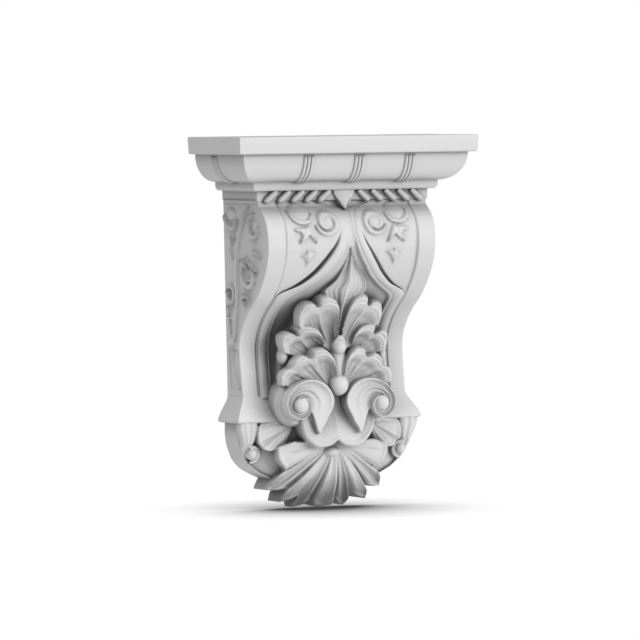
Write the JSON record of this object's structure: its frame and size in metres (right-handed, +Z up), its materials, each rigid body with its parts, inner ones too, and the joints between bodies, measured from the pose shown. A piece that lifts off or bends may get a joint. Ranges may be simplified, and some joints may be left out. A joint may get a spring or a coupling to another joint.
{
  "type": "polyurethane corbel",
  "caption": "Cast wall corbel with a moulded slab top, scrolled body, leaf spray with curled scrolls and a hanging leaf, flat on its back.",
  "frame": {"origin": "middle of the flat back face, on the wall plane, at half the corbel's height", "axes": "+Z up, front towards -Y, +Y into the wall, +X to the right as seen from the front"},
  "size_m": [0.25, 0.106, 0.3479],
  "materials": {
    "primed_polyurethane": "matte factory-primed white"
  },
  "bodies": {
    "root": {"corbel": "primed_polyurethane"}
  },
  "joints": []
}
